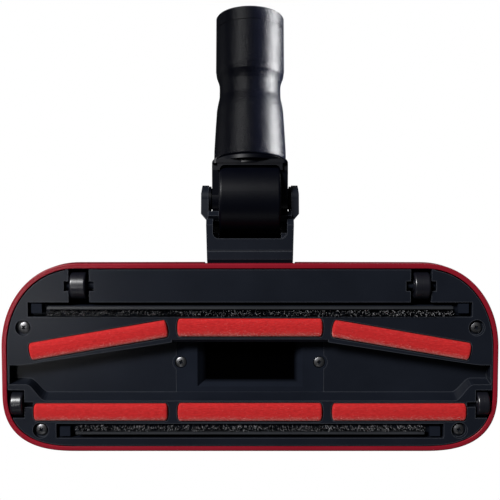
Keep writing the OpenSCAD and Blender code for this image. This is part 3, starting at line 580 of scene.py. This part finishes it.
def crowned_pad(node):
    """A velour strip with a crowned face, rounded ends and a nap, in the place of its CAD block."""
    mid, along, across, half_len, half_w, low_z, high_z = pad_axis(node)
    steps = int(2 * half_len / PAD_STEP)
    bm = bmesh.new()
    worn = bm.verts.layers.float.new("worn")
    rows = []
    for i in range(steps + 1):
        u = half_len * (END_CROWDING * math.sin(math.pi * (i / steps - 0.5))
                        + (1 - END_CROWDING) * (2 * i / steps - 1))
        over = max(0, (abs(u) - half_len + PAD_BOW) / PAD_BOW)
        side = half_w * math.sqrt(max(0, 1 - over ** SIDE_POWER)) + PAD_SQUASH
        end = math.sqrt(max(0, 1 - over ** END_POWER))
        row = []
        for j in range(PAD_ACROSS + 1):
            s = math.sin(math.pi * (j / PAD_ACROSS - 0.5))
            flat = mid.xy + along * u + across * side * s
            rise = end * math.sqrt(1 - abs(s) ** CROWN_POWER)
            nap = noise.noise(Vector((flat.x * NAP_X, flat.y * NAP_Y, NAP_SLICE)))
            fuzz = noise.noise(Vector((flat.x * FUZZ, flat.y * FUZZ, FUZZ_SLICE)))
            pile = NAP_HEIGHT * (NAP_AT_BASE + (1 - NAP_AT_BASE) * rise)
            z = SOLE_Z + PAD_SINK - rise * (SOLE_Z + PAD_SINK - low_z)
            z += pile * (NAP_SHARE * nap + FUZZ_SHARE * fuzz)
            v = bm.verts.new((flat.x, flat.y, z))
            v[worn] = max(0, -s) ** 2
            row.append(v)
        rows.append(row)
    grid_faces(bm, rows, closed=False)
    rim = ([row[0] for row in rows] + rows[-1][1:-1]
           + [row[-1] for row in reversed(rows)] + rows[0][-2:0:-1])
    back = [bm.verts.new((v.co.x, v.co.y, high_z)) for v in rim]
    grid_faces(bm, [rim, back])
    bm.faces.new(back)
    obj = new_object("velour_" + node, bm, PAD)
    stands_for(obj, "head", "velour", node)


for name in sorted(nodes):
    if "_pad_" in name:
        crowned_pad(name)


# ---------------------------------------------------------------- bristles

BRISTLES_PER_MM = 9
BRISTLE_R, BRISTLE_TAPER = 0.12 * MM, 0.75
ROW_MARGIN, ROW_SPLAY = 0.5 * MM, 0.2 * MM
LEAN_X, LEAN_Y, UNEVEN, BEND = 0.45, 0.35, 0.35, 0.12
# Share of a filament's tone at its foot and middle: painted shade, darker towards the foot
FOOT_PAINTED_SHADE, MIDDLE_PAINTED_SHADE = 0.5, 0.7


def bristle_strip(node, seed):
    """A dense row of separate filaments, each leaning a little its own way."""
    low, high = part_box(node)
    draw = random.Random(seed)
    bm = bmesh.new()
    tone = bm.verts.layers.float.new("tone")
    for _ in range(int((high.x - low.x) / MM * BRISTLES_PER_MM)):
        foot = Vector((draw.uniform(low.x, high.x),
                       draw.uniform(low.y + ROW_MARGIN, high.y - ROW_MARGIN), high.z))
        lean = Vector((draw.gauss(0, LEAN_X), draw.gauss(0, LEAN_Y), 0)) * MM
        tip = foot + lean
        tip.x = min(max(tip.x, low.x), high.x)
        tip.y = min(max(tip.y, low.y - ROW_SPLAY), high.y + ROW_SPLAY)
        tip.z = low.z + abs(draw.gauss(0, UNEVEN)) * MM
        halfway = (foot + tip) / 2 - lean * BEND
        shade = draw.random()
        spin = draw.uniform(0, math.pi)
        rows = []
        for at, r, fade in ((foot, BRISTLE_R, FOOT_PAINTED_SHADE), (halfway, BRISTLE_R, MIDDLE_PAINTED_SHADE),
                            (tip, BRISTLE_R * BRISTLE_TAPER, 1)):
            row = []
            for k in range(3):
                turn = spin + k * math.tau / 3
                v = bm.verts.new((at.x + r * math.cos(turn), at.y + r * math.sin(turn), at.z))
                v[tone] = shade * fade
                row.append(v)
            rows.append(row)
        grid_faces(bm, rows)
        bm.faces.new(rows[-1])
    obj = new_object("filaments_" + node, bm, BRISTLE, is_smooth=False)
    stands_for(obj, "brush", "bristle", node)


bristle_strip("rear_bristles", seed=11)
bristle_strip("front_bristles", seed=12)


# ---------------------------------------------------------------- screws

HEAD_R, HEAD_H, SHANK_R = 3.2 * MM, 1.6 * MM, 1.6 * MM
DOME_H, DOME_ANGLE = 0.55 * MM, math.radians(40)
SHOULDER_H, SIDE_H = 0.12 * MM, 0.3 * MM
DOME_STEPS, DOME_SHARE, SIDE_SHARE = 6, 0.93, 0.985
RECESS_HALF, RECESS_W, RECESS_DEEP = 1.5 * MM, 0.5 * MM, 1.3 * MM
RECESS_TAPER_LONG, RECESS_TAPER_WIDE = 0.6, 0.7
TOUCH, APART = 0.1 * MM, 20 * MM
SCREW_EDGE, SCREW_SHARP_DEG = 0.08 * MM, 40
CORNER_SCREW, CHANNEL_SCREW = 13.5 * MM, 7.5 * MM


def lathe(bm, profile, at, steps=40):
    """Turns a (radius, height) profile about the vertical through at."""
    rows = []
    for r, h in profile:
        rows.append([bm.verts.new(at + Vector((r * math.cos(math.tau * k / steps),
                                               r * math.sin(math.tau * k / steps), h)))
                     for k in range(steps)])
    grid_faces(bm, rows)
    bm.faces.new(rows[0])
    bm.faces.new(rows[-1])


def pan_screw(bm, recess, at, length, turn):
    """Domed head facing down with its rounded edge, shank above; its recess goes in the cutter."""
    dome = [(HEAD_R * math.sin(a), DOME_H * (1 - math.cos(a)) / (1 - math.cos(DOME_ANGLE)))
            for a in (DOME_ANGLE * k / DOME_STEPS for k in range(1, DOME_STEPS + 1))]
    scale = DOME_SHARE * HEAD_R / dome[-1][0]
    dome = [(r * scale, h) for r, h in dome]
    side = [(HEAD_R * SIDE_SHARE, DOME_H + SHOULDER_H), (HEAD_R, DOME_H + SIDE_H),
            (HEAD_R, HEAD_H), (SHANK_R, HEAD_H), (SHANK_R, length)]
    lathe(bm, dome + side, at)
    for arm in (0, math.pi / 2):
        made = bmesh.ops.create_cube(recess, size=1)
        for v in made["verts"]:
            deep = v.co.z > 0
            x = v.co.x * 2 * RECESS_HALF * (RECESS_TAPER_LONG if deep else 1)
            y = v.co.y * 2 * RECESS_W * (RECESS_TAPER_WIDE if deep else 1)
            corner = Matrix.Rotation(arm + turn, 3, "Z") @ Vector((x, y, 0))
            v.co = at + corner + Vector((0, 0, RECESS_DEEP if deep else -MM))


def screws(node, length, seed):
    """One cross-recess screw in each place where the CAD has one."""
    draw = random.Random(seed)
    low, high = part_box(node)
    two_rows = high.y - low.y > APART
    places = {}
    for v in nodes[node].data.vertices:
        if v.co.z < low.z + TOUCH:
            is_rear = two_rows and v.co.y > (low.y + high.y) / 2
            places.setdefault((v.co.x > 0, is_rear), []).append(v.co)
    bm, recess = bmesh.new(), bmesh.new()
    for key in sorted(places):
        points = places[key]
        at = Vector([(min(p[i] for p in points) + max(p[i] for p in points)) / 2 for i in range(3)])
        at.z = low.z
        pan_screw(bm, recess, at, length, draw.uniform(0, math.pi / 2))
    for shape in (bm, recess):
        bmesh.ops.recalc_face_normals(shape, faces=shape.faces)
    obj = new_object("cross_" + node, bm, STEEL)
    cut(obj, new_object("recess_" + node, recess, INNER, is_smooth=False))
    smooth(obj)
    round_edges(obj, SCREW_EDGE, SCREW_SHARP_DEG)
    stands_for(obj, "head", "steel", node)


screws("corner_screws", CORNER_SCREW, seed=21)
screws("channel_screws", CHANNEL_SCREW, seed=22)


# ---------------------------------------------------------------- stage

def area_light(name, at, to, size, power, spread_deg=180):
    data = bpy.data.lights.new(name, "AREA")
    data.spread = math.radians(spread_deg)
    data.shape = "RECTANGLE"
    data.size, data.size_y = size
    data.energy = power
    obj = bpy.data.objects.new(name, data)
    bpy.context.scene.collection.objects.link(obj)
    obj.location = at
    obj.rotation_euler = (to - Vector(at)).to_track_quat("-Z", "Y").to_euler()
    return obj


def light_only(light, names):
    """Keeps a light to some nodes, so that it leaves no patch on the floor."""
    group = bpy.data.collections.new(light.name + "_receivers")
    for name in names:
        group.objects.link(nodes[name])
    light.light_linking.receiver_collection = group


FLOOR_SIZE, FLOOR_DROP = 4.0, 0.2 * MM
FLOOR_GREY, FLOOR_GLOW = 0.45, 0.42


def floor():
    """Pale, faintly glowing floor, seen from above; light and view pass it from below."""
    mat, n, links, bsdf = new_material("floor_paint")
    bsdf.inputs["Base Color"].default_value = (FLOOR_GREY, FLOOR_GREY, FLOOR_GREY, 1)
    bsdf.inputs["Roughness"].default_value = 0.9
    bsdf.inputs["Emission Color"].default_value = (1, 1, 1, 1)
    bsdf.inputs["Emission Strength"].default_value = FLOOR_GLOW
    facing = n.new("ShaderNodeNewGeometry")
    clear = n.new("ShaderNodeBsdfTransparent")
    mix = n.new("ShaderNodeMixShader")
    links.new(facing.outputs["Backfacing"], mix.inputs["Fac"])
    links.new(bsdf.outputs["BSDF"], mix.inputs[1])
    links.new(clear.outputs["BSDF"], mix.inputs[2])
    links.new(mix.outputs["Shader"], n["Material Output"].inputs["Surface"])
    bm = bmesh.new()
    bmesh.ops.create_grid(bm, x_segments=1, y_segments=1, size=FLOOR_SIZE)
    obj = new_object("floor", bm, mat, is_smooth=False)
    obj.location.z = -FLOOR_DROP
    obj.visible_shadow = False
    obj.visible_diffuse = False
    obj.visible_glossy = False


def world_light():
    """White behind the object, and a softer grey that lights it."""
    world = bpy.data.worlds.new("studio")
    bpy.context.scene.world = world
    world.use_nodes = True
    n, links = world.node_tree.nodes, world.node_tree.links
    back = n["Background"]
    back.inputs["Color"].default_value = (1, 1, 1, 1)
    back.inputs["Strength"].default_value = 1.0
    soft = n.new("ShaderNodeBackground")
    soft.inputs["Color"].default_value = (0.9, 0.94, 1, 1)
    soft.inputs["Strength"].default_value = 0.03
    path = n.new("ShaderNodeLightPath")
    mix = n.new("ShaderNodeMixShader")
    links.new(path.outputs["Is Camera Ray"], mix.inputs["Fac"])
    links.new(soft.outputs["Background"], mix.inputs[1])
    links.new(back.outputs["Background"], mix.inputs[2])
    links.new(mix.outputs["Shader"], n["World Output"].inputs["Surface"])


LENS_MM, SENSOR_MM = 61.8, 36
EYE, TARGET = at_head(0, 90.6, -486), at_head(0, 61.7, 4)


def camera():
    """Looks up at the sole from under the neck, rear of the head at the top of the picture."""
    data = bpy.data.cameras.new("camera")
    data.sensor_width = SENSOR_MM
    data.lens = LENS_MM
    data.clip_start = 0.01
    obj = bpy.data.objects.new("camera", data)
    bpy.context.scene.collection.objects.link(obj)
    forward = (TARGET - EYE).normalized()
    right = forward.cross(Vector((0, 1, 0))).normalized()
    up = right.cross(forward)
    turn = Matrix((right, up, -forward)).transposed().to_4x4()
    obj.matrix_world = Matrix.Translation(EYE) @ turn
    bpy.context.scene.camera = obj


bpy.context.scene.view_settings.view_transform = "Standard"
world_light()
floor()
camera()
head_mid = Vector((0, work_y, 0))
neck_mid = pivot + Vector((0, 0.05, 0))

# Seen from below: the key from the rear left, a glare on the sole's left end, a fill from the front
area_light("key_rear", (1.52, work_y + 1.76, -2.18), head_mid, (1.2, 0.8), 124)
area_light("gloss_left", (0.26, work_y - 0.03, -0.48), at_head(142, 38, 4), (0.1, 0.1), 0.0045, 20)
area_light("fill_front", (0.1, work_y - 0.8, -0.6), head_mid, (0.5, 0.3), 0.3)

# The tube's two glints
side_left = area_light("side_left", (0.45, pivot.y + 0.1, 0.12), neck_mid, (0.3, 0.3), 0.25)
light_only(side_left, bodies["tube"] + bodies["elbow"])
softbox_right = area_light("softbox_right", (-0.26, pivot.y + 0.14, 0.05),
                           pivot + Vector((0, 0.09, 0.03)), (0.24, 0.16), 2.0, 34)
light_only(softbox_right, bodies["tube"])

# Soft light on the upper side
area_light("above", (0.4, work_y - 0.5, 0.9), head_mid, (0.8, 0.8), 4.5)
area_light("above_back", (-0.5, work_y + 0.7, 0.7), head_mid, (0.6, 0.6), 2.5)
